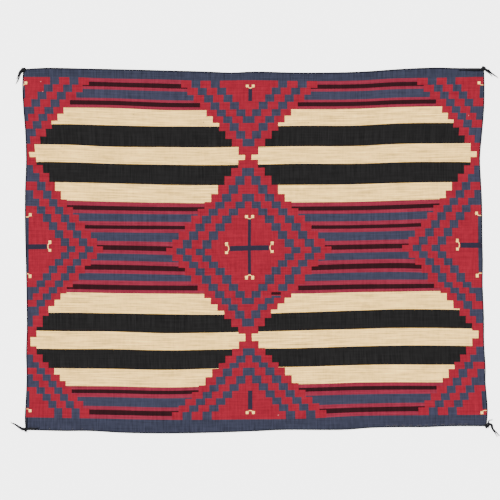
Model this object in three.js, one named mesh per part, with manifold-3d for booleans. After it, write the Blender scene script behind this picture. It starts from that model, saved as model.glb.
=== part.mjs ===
// Chief blanket, lying flat with its face up: a one-piece tapestry web of wool, a plied cord twined along
// each of its four edges, and at each corner the knotted ends of two cords. Millimetres, +Z up, +Y towards
// the top edge. The origin is the middle of the centre diamond, on the underside.

import * as THREE from 'three';
import { mergeVertices } from 'three/addons/utils/BufferGeometryUtils.js';
import Module from 'manifold-3d';

const wasm = await Module();
wasm.setup();

// Driving dimensions
const webThickness = 2.5;
const webEdgeBevel = 0.6;
const webCornerRadius = 13;
const cordDiameter = 4;
const cordFacets = 8;
const sideSteps = 60; // straight stretches along each side of the web and each cord
const knotRadius = 7.6;
const knotHeight = 9;
const seatGap = 0.45; // between pieces that touch, measured along a straight edge
const strandTopShare = 0.6; // of a strand's width, across its upper side
const strandSteps = 10;
const lobeDetail = 1;
const lobeFlatShare = 0.1; // of a lobe's full depth, flattened off below where it rests

// The four outer corners, where the outer faces of the edge cords would meet
const corners = {
  topLeft: { x: -907, y: 722 },
  topRight: { x: 936, y: 726 },
  bottomRight: { x: 947, y: -707 },
  bottomLeft: { x: -899, y: -722 },
};

// The outer line of the blanket between its corners, as uneven as the woven one. Each side runs
// counter-clockwise, and inward is the direction towards the web.
const sides = {
  bottom: {
    from: 'bottomLeft',
    to: 'bottomRight',
    inward: { x: 0, y: 1 },
    line: [
      { x: -748, y: -726 },
      { x: -640, y: -726 },
      { x: -516, y: -733 },
      { x: -356, y: -736 },
      { x: -196, y: -734 },
      { x: 20, y: -727 },
      { x: 124, y: -722 },
      { x: 384, y: -721 },
      { x: 476, y: -714 },
      { x: 604, y: -711 },
      { x: 700, y: -711 },
      { x: 800, y: -707 },
    ],
  },
  right: {
    from: 'bottomRight',
    to: 'topRight',
    inward: { x: -1, y: 0 },
    line: [
      { x: 951, y: -642 },
      { x: 942, y: -522 },
      { x: 943, y: -482 },
      { x: 937, y: -378 },
      { x: 936, y: -266 },
      { x: 931, y: -138 },
      { x: 932, y: -50 },
      { x: 930, y: 38 },
      { x: 928, y: 198 },
      { x: 923, y: 294 },
      { x: 920, y: 366 },
      { x: 929, y: 470 },
      { x: 937, y: 574 },
      { x: 938, y: 662 },
    ],
  },
  top: {
    from: 'topRight',
    to: 'topLeft',
    inward: { x: 0, y: -1 },
    line: [
      { x: 836, y: 726 },
      { x: 740, y: 728 },
      { x: 596, y: 722 },
      { x: 500, y: 715 },
      { x: 404, y: 710 },
      { x: 188, y: 708 },
      { x: 20, y: 712 },
      { x: -76, y: 708 },
      { x: -172, y: 712 },
      { x: -316, y: 716 },
      { x: -508, y: 721 },
      { x: -652, y: 724 },
      { x: -820, y: 727 },
    ],
  },
  left: {
    from: 'topLeft',
    to: 'bottomLeft',
    inward: { x: 1, y: 0 },
    line: [
      { x: -911, y: 662 },
      { x: -908, y: 582 },
      { x: -899, y: 462 },
      { x: -896, y: 350 },
      { x: -900, y: 238 },
      { x: -900, y: 78 },
      { x: -896, y: -82 },
      { x: -893, y: -322 },
      { x: -896, y: -410 },
      { x: -894, y: -506 },
      { x: -898, y: -618 },
      { x: -901, y: -666 },
    ],
  },
};

// Beside each corner's knot: the smaller lobes of its windings, placed from the knot's middle, and the
// cords' loose ends. A loose end's route gives its underside: on the surface below at z 0, or higher
// where it lies over the web or a cord.
const tassels = {
  topLeft: {
    lobes: [
      { x: -5, y: 3, rx: 5.5, ry: 4.5, height: 8 },
      { x: -6, y: -3, rx: 4.5, ry: 5, height: 7 },
    ],
    strands: [
      {
        width: 5,
        tipWidth: 3,
        height: 4.5,
        tipHeight: 2,
        route: [
          { x: -909, y: 716, z: 1 },
          { x: -916, y: 708, z: 0 },
          { x: -922, y: 696, z: 0 },
          { x: -925, y: 684, z: 0 },
          { x: -932, y: 670, z: 0 },
        ],
      },
      {
        width: 5,
        tipWidth: 3,
        height: 4,
        tipHeight: 2,
        route: [
          { x: -912, y: 719, z: 1 },
          { x: -920, y: 712, z: 0 },
          { x: -926, y: 700, z: 0 },
          { x: -930, y: 689, z: 0 },
        ],
      },
    ],
  },
  topRight: {
    lobes: [
      { x: -2, y: 6, rx: 7, ry: 4.5, height: 8 },
      { x: 6, y: -1, rx: 5, ry: 5, height: 7 },
    ],
    strands: [
      {
        width: 6,
        tipWidth: 2.5,
        height: 4.5,
        tipHeight: 2,
        route: [
          { x: 936, y: 721, z: 1 },
          { x: 946, y: 718, z: 0 },
          { x: 954, y: 716, z: 0 },
          { x: 963, y: 707, z: 0 },
          { x: 973, y: 700, z: 0 },
          { x: 985, y: 692, z: 0 },
        ],
      },
      {
        width: 5,
        tipWidth: 3,
        height: 4,
        tipHeight: 2,
        route: [
          { x: 938, y: 721, z: 1 },
          { x: 947, y: 713, z: 0 },
          { x: 955, y: 707, z: 0 },
          { x: 962, y: 700, z: 0 },
        ],
      },
      {
        width: 4.5,
        tipWidth: 3.5,
        height: 3.5,
        tipHeight: 2.5,
        route: [
          { x: 930, y: 722, z: 5 },
          { x: 918, y: 720, z: 4.8 },
          { x: 904, y: 718.5, z: 3.6 },
          { x: 880, y: 718, z: 2.9 },
          { x: 845, y: 718, z: 2.9 },
        ],
      },
    ],
  },
  bottomRight: {
    lobes: [
      { x: 10, y: 3, rx: 6, ry: 6, height: 9 },
      { x: 8, y: -4, rx: 5, ry: 5, height: 7 },
    ],
    strands: [
      {
        width: 5.5,
        tipWidth: 3,
        height: 4.5,
        tipHeight: 2,
        route: [
          { x: 951, y: -702, z: 1 },
          { x: 961, y: -697, z: 0 },
          { x: 967, y: -702, z: 0 },
          { x: 970, y: -714, z: 0 },
          { x: 977, y: -724, z: 0 },
          { x: 985, y: -731, z: 0 },
          { x: 993, y: -740, z: 0 },
        ],
      },
      {
        width: 4.5,
        tipWidth: 2.5,
        height: 4,
        tipHeight: 2,
        route: [
          { x: 954, y: -699, z: 1 },
          { x: 963, y: -700, z: 0 },
          { x: 966, y: -711, z: 0 },
          { x: 972, y: -723, z: 0 },
          { x: 979, y: -732, z: 0 },
          { x: 984, y: -741, z: 0 },
        ],
      },
      {
        width: 5,
        tipWidth: 3,
        height: 4,
        tipHeight: 2,
        route: [
          { x: 951, y: -699, z: 1 },
          { x: 954, y: -690, z: 0 },
          { x: 956, y: -683, z: 0 },
          { x: 962, y: -682, z: 0 },
        ],
      },
    ],
  },
  bottomLeft: {
    lobes: [
      { x: -12, y: 2, rx: 7.5, ry: 6, height: 8 },
      { x: 2, y: -5, rx: 5, ry: 4.5, height: 7 },
    ],
    strands: [
      {
        width: 6.5,
        tipWidth: 3,
        height: 4.5,
        tipHeight: 2,
        route: [
          { x: -904, y: -718, z: 1 },
          { x: -915, y: -715, z: 0 },
          { x: -926, y: -708, z: 0 },
          { x: -936, y: -701, z: 0 },
          { x: -949, y: -695, z: 0 },
        ],
      },
      {
        width: 4.5,
        tipWidth: 3.5,
        height: 3.5,
        tipHeight: 2.5,
        route: [
          { x: -896, y: -718, z: 5 },
          { x: -886, y: -716, z: 4.8 },
          { x: -874, y: -714.5, z: 3.6 },
          { x: -864, y: -715.5, z: 2.9 },
          { x: -852, y: -714.5, z: 2.9 },
        ],
      },
      {
        width: 4.5,
        tipWidth: 3.5,
        height: 3.5,
        tipHeight: 2.5,
        route: [
          { x: -897, y: -717, z: 5 },
          { x: -895.5, y: -706, z: 4.8 },
          { x: -893, y: -696, z: 3.4 },
          { x: -892.5, y: -682, z: 2.9 },
        ],
      },
    ],
  },
};

const webMaterial = new THREE.MeshStandardMaterial({ color: 0xb02f3c, roughness: 0.95, metalness: 0 });
const cordMaterial = new THREE.MeshStandardMaterial({ color: 0x25283a, roughness: 0.95, metalness: 0 });
const tasselMaterial = new THREE.MeshStandardMaterial({ color: 0x1b1c22, roughness: 0.95, metalness: 0 });

// A side's outer line moved inwards, from corner to corner
function sideCurve(side, inset, height = 0) {
  const start = insetCorner(side.from, inset);
  const end = insetCorner(side.to, inset);
  const between = side.line.map(
    ({ x, y }) => new THREE.Vector3(x + side.inward.x * inset, y + side.inward.y * inset, height),
  );
  start.z = height;
  end.z = height;
  return new THREE.CatmullRomCurve3([start, ...between, end], false, 'centripetal');
}

// A corner moved inwards from both of its sides
function insetCorner(name, inset) {
  const { x, y } = corners[name];
  return new THREE.Vector3(x - Math.sign(x) * inset, y - Math.sign(y) * inset, 0);
}

// The web's outline: its four sides, joined by rounded corners
function webShape() {
  const inset = cordDiameter + seatGap;
  const outline = new THREE.Shape();
  let first = null;
  for (const side of Object.values(sides)) {
    const curve = sideCurve(side, inset);
    const trim = webCornerRadius / curve.getLength();
    for (let i = 0; i <= sideSteps; i++) {
      const { x, y } = curve.getPointAt(trim + (1 - 2 * trim) * (i / sideSteps));
      if (!first) {
        first = { x, y };
        outline.moveTo(x, y);
      } else if (i === 0) {
        const corner = insetCorner(side.from, inset);
        outline.quadraticCurveTo(corner.x, corner.y, x, y);
      } else {
        outline.lineTo(x, y);
      }
    }
  }
  const corner = insetCorner(sides.bottom.from, inset);
  outline.quadraticCurveTo(corner.x, corner.y, first.x, first.y);
  return outline;
}

// The tapestry web, with its edges slightly rounded off
function webGeometry() {
  const geometry = new THREE.ExtrudeGeometry(webShape(), {
    depth: webThickness - 2 * webEdgeBevel,
    bevelThickness: webEdgeBevel,
    bevelSize: webEdgeBevel,
    bevelOffset: -webEdgeBevel,
    bevelSegments: 1,
    curveSegments: 4,
  });
  return geometry.translate(0, 0, webEdgeBevel);
}

// A cord's section, with a flat facet below so that the cord lies level
function cordSection() {
  const section = new THREE.Shape();
  for (let i = 0; i < cordFacets; i++) {
    const angle = ((i + 0.5) / cordFacets) * 2 * Math.PI;
    const x = (cordDiameter / 2) * Math.cos(angle);
    const y = (cordDiameter / 2) * Math.sin(angle);
    if (i === 0) section.moveTo(x, y);
    else section.lineTo(x, y);
  }
  section.closePath();
  return section;
}

// The cord along one side, from just after one knot to just before the next
function cordGeometry(side) {
  const centreHeight = (cordDiameter / 2) * Math.cos(Math.PI / cordFacets);
  const curve = sideCurve(side, cordDiameter / 2, centreHeight);
  const trim = (knotRadius + seatGap) / curve.getLength();
  const path = [];
  for (let i = 0; i <= sideSteps; i++) {
    path.push(curve.getPointAt(trim + (1 - 2 * trim) * (i / sideSteps)));
  }
  return new THREE.ExtrudeGeometry(cordSection(), {
    steps: sideSteps,
    bevelEnabled: false,
    extrudePath: new THREE.CatmullRomCurve3(path, false, 'centripetal'),
  });
}

// A loose end: four-sided, level underneath and thinner towards its tip
function strandGeometry({ width, tipWidth, height, tipHeight, route }) {
  const curve = new THREE.CatmullRomCurve3(route.map(({ x, y, z }) => new THREE.Vector3(x, y, z)));
  const positions = [];
  for (let i = 0; i <= strandSteps; i++) {
    const along = i / strandSteps;
    const point = curve.getPointAt(along);
    const heading = curve.getTangentAt(along).setZ(0).normalize();
    const below = THREE.MathUtils.lerp(width, tipWidth, along) / 2;
    const above = below * strandTopShare;
    const base = Math.max(point.z, 0);
    const crest = base + THREE.MathUtils.lerp(height, tipHeight, along);
    positions.push(point.x + heading.y * below, point.y - heading.x * below, base);
    positions.push(point.x - heading.y * below, point.y + heading.x * below, base);
    positions.push(point.x - heading.y * above, point.y + heading.x * above, crest);
    positions.push(point.x + heading.y * above, point.y - heading.x * above, crest);
  }
  const faces = [0, 3, 2, 0, 2, 1];
  for (let i = 0; i < strandSteps; i++) {
    for (let corner = 0; corner < 4; corner++) {
      const near = 4 * i + corner;
      const nearNext = 4 * i + ((corner + 1) % 4);
      faces.push(near, nearNext, nearNext + 4, near, nearNext + 4, near + 4);
    }
  }
  const last = 4 * strandSteps;
  faces.push(last, last + 1, last + 2, last, last + 2, last + 3);
  const geometry = new THREE.BufferGeometry();
  geometry.setAttribute('position', new THREE.Float32BufferAttribute(positions, 3));
  geometry.setIndex(faces);
  return geometry;
}

// One lobe of a knot: a squashed ball that sits flat on the surface below
function lobeGeometry(middle, { x, y, rx, ry, height }) {
  const geometry = new THREE.IcosahedronGeometry(1, lobeDetail);
  const depth = height / (1 - lobeFlatShare);
  geometry.scale(rx, ry, depth / 2).translate(middle.x + x, middle.y + y, height - depth / 2);
  const place = geometry.getAttribute('position');
  for (let i = 0; i < place.count; i++) place.setZ(i, Math.max(place.getZ(i), 0));
  return geometry;
}

function toSolid(geometry) {
  const bare = geometry.clone();
  bare.deleteAttribute('normal');
  bare.deleteAttribute('uv');
  const welded = mergeVertices(bare, 1e-4);
  return new wasm.Manifold(
    new wasm.Mesh({
      numProp: 3,
      vertProperties: new Float32Array(welded.getAttribute('position').array),
      triVerts: new Uint32Array(welded.getIndex().array),
    }),
  );
}

function toGeometry(solid) {
  const { vertProperties, triVerts } = solid.getMesh();
  const geometry = new THREE.BufferGeometry();
  geometry.setAttribute('position', new THREE.BufferAttribute(vertProperties, 3));
  geometry.setIndex(new THREE.BufferAttribute(triVerts, 1));
  geometry.computeVertexNormals();
  return geometry;
}

// A corner's knot with its loose ends, fused into one body
function tasselGeometry(name) {
  const middle = insetCorner(name, cordDiameter / 2);
  const knot = { x: 0, y: 0, rx: knotRadius, ry: knotRadius, height: knotHeight };
  const { lobes, strands } = tassels[name];
  const pieces = [
    ...[knot, ...lobes].map((lobe) => lobeGeometry(middle, lobe)),
    ...strands.map((strand) => strandGeometry(strand)),
  ];
  return toGeometry(pieces.map(toSolid).reduce((whole, piece) => whole.add(piece)));
}

function addPiece(group, name, geometry, material) {
  const mesh = new THREE.Mesh(geometry, material);
  mesh.name = name;
  group.add(mesh);
}

const nodeWords = {
  topLeft: 'top_left',
  topRight: 'top_right',
  bottomRight: 'bottom_right',
  bottomLeft: 'bottom_left',
};

const blanket = new THREE.Group();
addPiece(blanket, 'blanket_web', webGeometry(), webMaterial);
for (const [name, side] of Object.entries(sides)) {
  addPiece(blanket, `edge_cord_${name}`, cordGeometry(side), cordMaterial);
}
for (const [name, words] of Object.entries(nodeWords)) {
  addPiece(blanket, `tassel_${words}`, tasselGeometry(name), tasselMaterial);
}

export default blanket;
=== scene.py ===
"""A chief blanket, handwoven in wool and lying flat, face up: an add-on that dresses its CAD frame.

The web is charted as a weaver counts it. Along a pick, warps run from the left edge to the right one, with
0 on the middle column of diamonds. Down the web, design rows run from 0 under the top border to 46 above the
bottom one. The mesh carries that chart as the attribute "weave", uneven as the cloth is, and the material
draws the design on it.
"""

import math

import bmesh
import bpy
import numpy as np
from bpy.props import FloatProperty, FloatVectorProperty, IntProperty, PointerProperty
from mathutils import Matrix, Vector


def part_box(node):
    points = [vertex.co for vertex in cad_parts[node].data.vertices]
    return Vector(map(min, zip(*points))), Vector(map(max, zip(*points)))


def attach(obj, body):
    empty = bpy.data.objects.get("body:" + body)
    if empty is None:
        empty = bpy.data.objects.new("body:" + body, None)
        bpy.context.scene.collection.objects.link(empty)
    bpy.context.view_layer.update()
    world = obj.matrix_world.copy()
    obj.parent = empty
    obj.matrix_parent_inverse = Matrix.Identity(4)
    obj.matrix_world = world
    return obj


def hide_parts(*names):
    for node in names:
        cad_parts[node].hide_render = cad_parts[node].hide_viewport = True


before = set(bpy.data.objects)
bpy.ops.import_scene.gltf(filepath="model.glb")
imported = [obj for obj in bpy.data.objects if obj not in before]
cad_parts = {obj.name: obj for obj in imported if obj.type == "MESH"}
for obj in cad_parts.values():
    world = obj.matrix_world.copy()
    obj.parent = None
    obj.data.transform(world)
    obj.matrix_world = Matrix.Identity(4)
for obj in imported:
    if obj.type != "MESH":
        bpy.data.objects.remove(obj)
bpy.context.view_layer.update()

bl_info = {
    "name": "Chief Blanket",
    "version": (1, 0, 0),
    "blender": (4, 5, 0),
    "location": "3D View > Sidebar > Blanket",
    "description": "Weaves a flat blanket of stripes and stepped diamonds, with cords and corner tassels",
    "category": "Add Mesh",
}

MM = 0.001

# The web's warps, and the chart: warps across as the weaver counts them, design rows down
WARP_COUNT = 712
COLUMN_SPACING = 353
STEPS_PER_WARP = 2
LAST_ROW = 46
MIDDLE_ROW = 22
NECK_DISTANCE = 12  # rows from the middle row to the narrow necks between diamonds
BORDER_ROWS = {"top": 1.2, "bottom": 1.75}
ROW_PITCH = 29.5  # mm, a usual row

# The heights, wander, guides, stripes and side steps were charted. Many were then corrected by the offsets
# between the drawn cloth and the photo's, which a program measured.

# Where the rows lie on the middle column: row, height in mm
ROW_HEIGHTS = (
    (0, 677), (2, 620), (4, 560), (6, 505), (8, 445), (9, 414), (10, 379), (11, 359), (13, 294), (15, 222),
    (16, 190), (18, 134), (20, 73), (22, 9), (23, -16), (25, -70), (26, -101), (27, -138), (29, -194),
    (31, -244), (33, -306), (35, -367), (37, -425), (38, -453), (39, -474), (41, -538), (43, -594),
    (45, -648), (46, -679),
)

# How far a pick wanders up from its height on the middle column, in mm: row, then the wander at each station
WANDER_STATIONS = (-880, -720, -560, -320, -200, 0, 200, 440, 580, 760, 900)
WANDER = (
    (0, 13, 12, 7, 2, -2, 0, -3, -1, 7, 10, 13),
    (4, 11, 9, 7, -2, -2, 1, 2, 4, 10, 13, 13),
    (5.7, 9, 10, 7, 1, 1, 1, 4, 5, 12, 15, 14),
    (8.3, 8, 5, -2, -4, -4, -2, -1, 1, 9, 11, 12),
    (10.4, 11, 9, 2, -1, -3, 0, 4, 4, 10, 13, 13),
    (12.5, 11, 10, 6, 0, -1, 0, 4, 3, 8, 9, 6),
    (14.2, 15, 12, 8, 2, 0, 0, -1, 3, 8, 12, 15),
    (16.1, 14, 10, 6, 1, 0, 2, 3, 6, 10, 16, 17),
    (19.3, 7, 4, 2, 1, 1, 2, 2, 3, 7, 14, 14),
    (22.4, 3, 5, 3, -3, -7, -2, 1, 6, 9, 10, 9),
    (25.9, 6, 6, 4, -1, -3, 1, 1, 8, 10, 7, 8),
    (27.6, 8, 7, 3, 1, 2, 0, 0, 4, 5, 8, 10),
    (29.6, 5, 5, 2, 0, -2, 1, 2, 9, 12, 15, 12),
    (31.7, 4, 6, 4, 0, -2, 0, 8, 17, 22, 20, 16),
    (33.6, 4, -1, -2, -10, -8, -2, 2, 7, 11, 11, 10),
    (35.6, 3, 2, 3, -3, -2, 2, 6, 14, 17, 17, 13),
    (37.6, 0, -3, -4, -7, -4, 1, 2, 9, 11, 11, 11),
    (40, -1, -2, -4, -9, -6, 2, 5, 12, 14, 13, 14),
    (42.2, -1, -2, -2, -6, -4, 2, 4, 11, 12, 12, 16),
    (44.2, 6, 5, 1, -4, 0, 0, 4, 10, 14, 17, 18),
    (46, 8, 5, 2, -2, -2, 0, 2, 14, 16, 17, 18),
)

# Where some of the chart's warps run, in mm across: row, then the place of each of these warps
GUIDE_WARPS = (-353, -240, -125, 0, 125, 240, 353)
GUIDES = (
    (0, -916, -624, -327, -4, 323, 648, 936),
    (5, -911, -622, -330, -5, 325, 646, 928),
    (9, -900, -620, -335, -6, 327, 640, 920),
    (12, -890, -618, -338, -8, 328, 637, 919),
    (17, -890, -617, -339, -7, 327, 637, 920),
    (22.5, -891, -617, -335, -8, 326, 640, 921),
    (28, -891, -618, -340, -7, 327, 639, 924),
    (31, -891, -620, -343, -9, 325, 638, 927),
    (35, -890, -624, -338, -5, 325, 640, 926),
    (40, -890, -624, -336, -5, 328, 646, 932),
    (46, -891, -624, -338, -4, 333, 653, 942),
)
WARP_PITCH = 2.55  # mm, of warps beyond these

# The yarns, and the number that stands for each in the material
YARNS = (
    "black", "maroon", "bar_indigo", "stripe_red", "red", "blue", "border_blue", "cream",
    "light_fleck", "brown_fleck",
)
CODE = {name: number for number, name in enumerate(YARNS)}

# How strongly a yarn is streaked along the ribs, in random tone and painted rib shade, and how much its dye
# lots differ from pick to pick
STREAKS = {
    "black": (0.9, 0.45), "maroon": (0.5, 0.4), "blue": (0.5, 0.4), "border_blue": (0.75, 0.45),
    "red": (0.3, 0.35), "stripe_red": (0.35, 0.45), "cream": (0.15, 0.9),
}
OTHER_STREAKS = (0.1, 0.05)
RIB_TONE_AND_SHADE_SCALE = (0.5, 0.3)  # of the streaks' noise, for each warp and for each design row
LOT_SCALE = (0.02, 6)
MOTTLE_SCALE = 55
MOTTLE = 0.2
WEFT_BUMP = {"Strength": 0.5, "Distance": 0.00015}

# The plied yarns of cords and knots: scales of their fibres and of longer stretches, and how far these fade
FIBRE_SCALE = 900
STRETCH_SCALE = 60
YARN_FADE = 0.05
MIDDLE_GREY = 0.5
YARN_BUMP = {"Strength": 0.6, "Distance": 0.0003}

# The stripes: the row at which each starts, and its yarn. The border lies above and below.
STRIPES = (
    (0, "stripe_red"), (0.53, "maroon"), (1.15, "stripe_red"), (1.55, "blue"), (2.73, "stripe_red"),
    (3.06, "maroon"), (3.64, "stripe_red"), (4.05, "cream"), (6.42, "black"), (9.05, "cream"),
    (11.6, "black"), (14.02, "cream"), (16.15, "stripe_red"), (16.75, "maroon"), (17.34, "stripe_red"),
    (17.79, "blue"), (18.8, "stripe_red"), (19.3, "maroon"), (19.76, "stripe_red"), (20.2, "blue"),
    (21.3, "stripe_red"), (21.82, "maroon"), (22.56, "stripe_red"), (23.11, "blue"), (24.19, "stripe_red"),
    (24.8, "maroon"), (25.5, "stripe_red"), (25.95, "blue"), (26.72, "stripe_red"), (27.23, "maroon"),
    (27.93, "stripe_red"), (28.41, "cream"), (31.44, "black"), (33.73, "cream"), (36.07, "black"),
    (38.94, "cream"), (41.19, "stripe_red"), (41.71, "maroon"), (42.26, "stripe_red"), (42.84, "blue"),
    (44.25, "stripe_red"), (44.81, "maroon"), (45.49, "stripe_red"), (46, "border_blue"),
)

# The stepped diamonds: warps that a row gains on the last, and the bands from a diamond's edge inwards
STEP_WARPS = 10
NECK_HALF_WARPS = 5
BLUE_BANDS = ((16, 30), (46, 60))

# How many rows the left and right diamonds' steps run ahead of the middle ones': row, left, right
SIDE_STEPS = (
    (26, 0, 0), (27, 0.24, 0), (29, 0.49, 0.3), (31, 0.43, -0.35), (33, -0.15, 0), (35, -0.7, 0),
    (37, -0.86, -0.22), (39, -0.92, -0.45), (41, -0.42, -0.65), (43, -0.42, -0.83), (45, -0.72, -1),
    (46, -1, -1),
)

# The crosses' bars: half width in warps, first row, last row
BARS = ((2.9, 1.22, 2.9), (2.3, 18.52, 25.9), (3.3, 42.0, 44.66))
LEVEL_BAR = (29.3, 21.74, 22.46)
MIDDLE_BAR_SHIFT = 2  # warps that the middle crosses stand to the right

# The row limits of the side crosses' top and bottom parts
TOP_LAST_ROW = 10
BOTTOM_FIRST_ROW = 35

# How many warps further in the side crosses' bars reach: at the top, lower down, and the level bars
SIDE_REACH = 2.8
LOW_REACH = {"left": 0, "right": 1}
LEVEL_REACH = 2.4
LOW_RIGHT_DROP = 0.6  # rows that the bottom right corner's fork stands lower

# The small forks above and below the upright bars: row of the curved line, which way the fork opens in rows
FORKS = ((1.1, -1), (18.43, -1), (26.05, 1), (44.85, 1))

# A fork's curved line and the square at each of its ends: "aside" in warps from the bar, "along" in rows
FORK_LINE = {"bend": 0.01, "half_along": 0.048, "reach": 3}
FORK_SQUARE = {"aside": 4.6, "half_aside": 2.1, "along": 0.28, "half_along": 0.19}
LEVEL_FORK_ROW = 22.08
LEVEL_FORK_LINE = {"bend": 8.5, "aside": 31.1, "half_aside": 0.65, "reach": 0.42}
LEVEL_FORK_SQUARE = {"aside": 34.4, "half_aside": 2.1, "along": 0.58, "half_along": 0.2}

# The short dark dash in place of one blue step, and the red above and below it: each one's middle, and half
# its size, in warps or in rows
DASH_WARPS = (42, 7.2)
DASH_ROWS = (28.36, 0.2)
DASH_GROUND_ROWS = (28.33, 0.34)

# Specks of vegetable matter and stray fibre, by yarn, in mm from the origin: x, y, radius
SPECKS = {
    "light_fleck": ((-837, 672, 2.4), (-829, 632, 2), (113, -662, 2.4), (874, 536, 2.2)),
    "brown_fleck": ((-752, 413, 2.2), (-748, 386, 1.8), (-467, 541, 2), (-186, 509, 2.2), (234, 508, 1.8)),
}

# The rings of the web's rounded edge: how far in they lie in mm, and the share of thickness lost on each face
EDGE_RINGS = (0, 0.6, 1.5)
EDGE_LOSSES = (0.3, 0.1, 0)

CORD_OVERLAP = 0.9  # mm that the web reaches under its edge cords
CORD_FACETS = 8
SIDES = {
    "top": {"axis": 0, "inward": (0, -1)},
    "bottom": {"axis": 0, "inward": (0, 1)},
    "left": {"axis": 1, "inward": (1, 0)},
    "right": {"axis": 1, "inward": (-1, 0)},
}

# The corner tassels, in mm: the knot's middle, its extra windings (x and y from the middle, radius, height)
# and its loose ends (thickness, then the route of the underside)
TASSELS = {
    "top_left": {
        "middle": (-905, 720),
        "windings": ((-5, 3, 5, 8), (-6, -3, 4.8, 7)),
        "ends": (
            (12, ((-909, 716, 1), (-916, 708, 0), (-922, 696, 0), (-925, 684, 0), (-932, 670, 0))),
            (9.5, ((-912, 719, 1), (-920, 712, 0), (-926, 700, 0), (-930, 689, 0))),
        ),
    },
    "top_right": {
        "middle": (934, 724),
        "windings": ((-2, 6, 5.5, 8), (6, -1, 5, 7)),
        "ends": (
            (11.5, ((936, 721, 1), (946, 718, 0), (954, 716, 0), (963, 707, 0), (973, 700, 0),
                    (985, 692, 0))),
            (9.5, ((938, 721, 1), (947, 713, 0), (955, 707, 0), (962, 700, 0))),
            (8, ((930, 722, 5), (918, 720, 4.8), (904, 718.5, 3.6), (880, 718, 2.9), (845, 718, 2.9))),
        ),
    },
    "bottom_right": {
        "middle": (945, -705),
        "windings": ((10, 3, 6, 9), (8, -4, 5, 7)),
        "ends": (
            (11.5, ((951, -702, 1), (961, -697, 0), (967, -702, 0), (970, -714, 0), (977, -724, 0),
                   (985, -731, 0), (993, -740, 0))),
            (9, ((954, -699, 1), (963, -700, 0), (966, -711, 0), (972, -723, 0), (979, -732, 0),
                 (984, -741, 0))),
            (8.5, ((951, -699, 1), (954, -690, 0), (956, -683, 0), (962, -682, 0))),
        ),
    },
    "bottom_left": {
        "middle": (-897, -720),
        "windings": ((-12, 2, 6.5, 8), (2, -5, 4.8, 7)),
        "ends": (
            (14, ((-904, -718, 1), (-915, -715, 0), (-926, -708, 0), (-936, -701, 0), (-949, -695, 0))),
            (9.5, ((-896, -718, 5), (-886, -716, 4.8), (-874, -714.5, 3.6), (-864, -715.5, 2.9),
                   (-852, -714.5, 2.9))),
            (6.5, ((-897, -717, 5), (-895.5, -706, 4.8), (-893, -696, 3.4), (-892.5, -682, 2.9))),
        ),
    },
}

# Warp loops that show along the bottom edge, in mm: first and last place across, spacing, length
WARP_LOOPS = ((540, 890, 32, 17), (-800, -600, 42, 6))


def colour_property(name, description, reflectance):
    return FloatVectorProperty(
        name=name, description=description, default=reflectance, subtype="COLOR", size=3, min=0, max=1
    )


def length_property(name, description, millimetres):
    return FloatProperty(name=name, description=description, default=millimetres * MM, unit="LENGTH", min=0)


class BlanketSizes(bpy.types.PropertyGroup):
    """Sizes that the web and its cords are made to."""

    rib_depth: length_property("Rib depth", "How deep the hollows between the warp ribs are", 0.35)
    rib_unevenness: FloatProperty(
        name="Rib unevenness", description="How much the ribs differ in height", default=0.3, min=0, max=1,
        subtype="FACTOR",
    )
    lift: length_property("Lift", "How far the web rises in its softest swells", 0.8)
    weft_bead: length_property("Weft bead", "Length of one weft's bead along a rib", 1.1)
    cord_strand: length_property("Cord strand radius", "Radius of each of an edge cord's three strands", 1.3)
    cord_lay: length_property("Cord lay", "Distance from an edge cord's middle to its strands' middles", 1.25)
    cord_pitch: length_property("Cord pitch", "Length of an edge cord's full turn", 15)
    corner_radius: length_property("Corner radius", "How round the web's corners are", 5)
    seed: IntProperty(name="Seed", description="Start of the random draws", default=7, min=0)


class BlanketColours(bpy.types.PropertyGroup):
    """Colours of the yarns."""

    black: colour_property("Black", "Wool of the black stripes", (0.0092, 0.0088, 0.0088))
    maroon: colour_property("Maroon", "Near-black wool of the thin stripes", (0.0185, 0.004, 0.0055))
    bar_indigo: colour_property("Bar indigo", "Dark wool of the crosses", (0.017, 0.0145, 0.027))
    stripe_red: colour_property("Stripe red", "Red wool of the narrow stripes", (0.17, 0.0145, 0.03))
    red: colour_property("Red", "Red wool of the diamonds", (0.2, 0.009, 0.0195))
    blue: colour_property("Blue", "Blue wool of the stripes and steps", (0.0275, 0.0285, 0.049))
    border_blue: colour_property("Border blue", "Darker wool of the two borders", (0.0235, 0.0255, 0.0425))
    cream: colour_property("Cream", "Undyed light wool", (0.95, 0.6, 0.18))
    light_fleck: colour_property("Light fleck", "Stray light fibres", (0.4, 0.12, 0.11))
    brown_fleck: colour_property("Brown fleck", "Bits of plant in the fleece", (0.28, 0.2, 0.1))
    cord: colour_property("Cord", "Dark wool of the edge cords", (0.006, 0.006, 0.011))
    tassel: colour_property("Tassel", "Dark wool of the corner knots", (0.004, 0.004, 0.006))
    warp: colour_property("Warp", "Grey wool of the warps", (0.1, 0.09, 0.105))
    floor: colour_property("Floor", "The pale floor", (0.9, 0.9, 0.9))


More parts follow.
